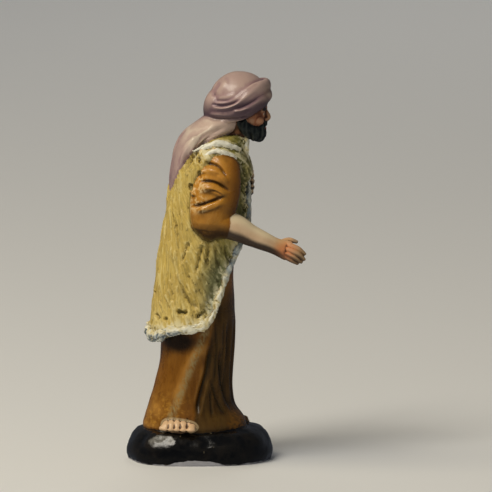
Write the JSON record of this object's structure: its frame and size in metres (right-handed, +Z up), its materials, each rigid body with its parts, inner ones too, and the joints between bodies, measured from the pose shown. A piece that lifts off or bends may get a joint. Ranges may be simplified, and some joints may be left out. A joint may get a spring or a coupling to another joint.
{
  "type": "nativity shepherd figurine",
  "caption": "Small painted clay shepherd with turban, fleece waistcoat and one arm held out, cast on its own dark mound",
  "frame": {"origin": "under the middle of the mound, on the surface that the figure stands on", "axes": "+Z up; +X the way that the shepherd faces; its right hand side is at -Y"},
  "size_m": [0.038, 0.0256, 0.081],
  "materials": {
    "painted_clay": "satin"
  },
  "bodies": {
    "root": {"shepherd_figurine": "painted_clay"}
  },
  "joints": []
}
